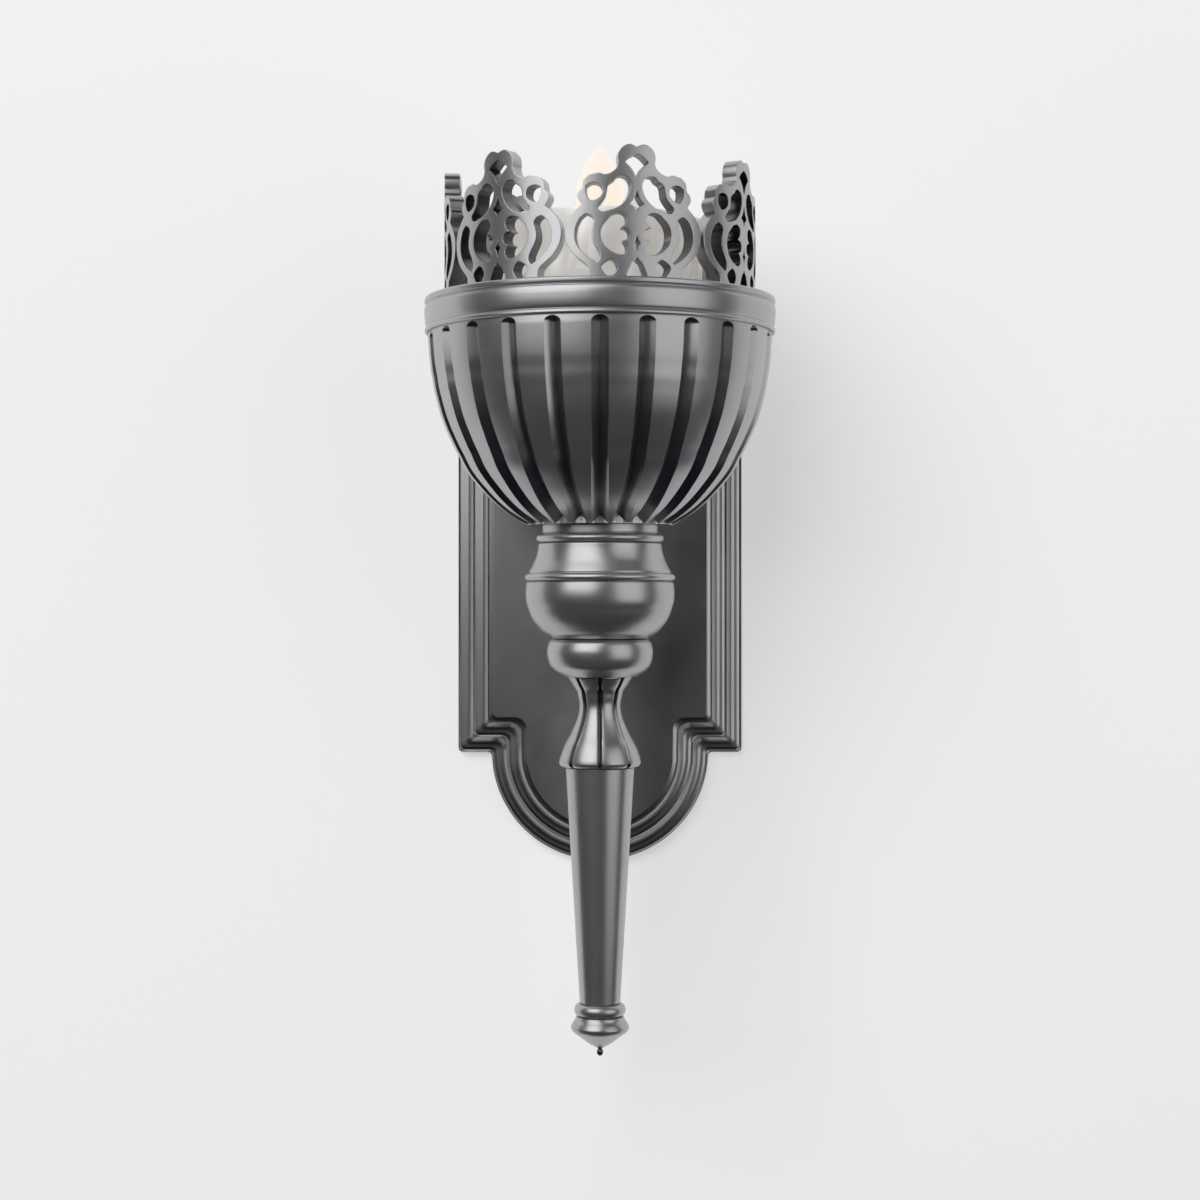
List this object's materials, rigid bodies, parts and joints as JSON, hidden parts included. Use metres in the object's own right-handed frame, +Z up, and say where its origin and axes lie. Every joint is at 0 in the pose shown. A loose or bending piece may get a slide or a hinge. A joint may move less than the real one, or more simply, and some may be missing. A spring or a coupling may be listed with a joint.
{
  "type": "torch wall sconce",
  "caption": "Electric wall sconce shaped as a torch: moulded backplate, arm, turned stem, fluted bowl, pierced crown, opal glass cup and a flame-tip bulb.",
  "frame": {"origin": "centre of the wall strap's rear face, on the wall", "axes": "+Z up along the torch, +Y into the wall, +X to the right as seen from the room"},
  "size_m": [0.24, 0.265, 0.6238],
  "materials": {
    "graphite_casting": "satin graphite finish over a smooth casting",
    "dark_steel": "darkened steel, satin",
    "zinc_steel": "zinc plated",
    "green_screw": "green painted ground screw",
    "nickel": "nickel plated",
    "ivory_sleeve": "matt ivory moulding",
    "black_phenolic": "moulded black phenolic",
    "opal_glass": "glossy white opal glass",
    "bulb_glass": "frosted flame-tip bulb, lit warm white"
  },
  "bodies": {
    "fixture": {"wall_strap": "zinc_steel", "backplate": "graphite_casting", "plate_stud_upper": "zinc_steel", "plate_stud_lower": "zinc_steel", "cap_nut_upper": "graphite_casting", "cap_nut_lower": "graphite_casting", "ground_screw": "green_screw", "arm_tube": "dark_steel", "arm_flange": "graphite_casting", "arm_washer": "zinc_steel", "arm_locknut": "zinc_steel", "arm_collar": "graphite_casting", "knop": "graphite_casting", "neck": "graphite_casting", "lower_knop": "graphite_casting", "waist": "graphite_casting", "handle": "graphite_casting", "finial": "graphite_casting", "finial_drop": "dark_steel", "tie_rod": "zinc_steel", "lamp_pipe": "zinc_steel", "bowl": "graphite_casting", "bowl_washer": "zinc_steel", "bowl_locknut": "zinc_steel", "rim_ring": "graphite_casting", "crown_clamp_ring": "graphite_casting", "crown_petal_1": "graphite_casting", "crown_petal_2": "graphite_casting", "crown_petal_3": "graphite_casting", "crown_petal_4": "graphite_casting", "crown_petal_5": "graphite_casting", "crown_petal_6": "graphite_casting", "crown_petal_7": "graphite_casting", "glass_seat": "graphite_casting", "seat_locknut": "zinc_steel", "candle_sleeve": "ivory_sleeve", "lampholder": "black_phenolic", "lampholder_contact": "nickel"},
    "diffuser": {"diffuser_glass": "opal_glass"},
    "bulb": {"bulb_glass": "bulb_glass", "bulb_cap": "nickel"}
  },
  "joints": [
    {"name": "diffuser_lift", "type": "slide", "parent": "fixture", "child": "diffuser", "axis": [0, 0, 1], "range_m": [0, 0.15]},
    {"name": "bulb_lift", "type": "slide", "parent": "fixture", "child": "bulb", "axis": [0, 0, 1], "range_m": [0, 0.1]}
  ]
}
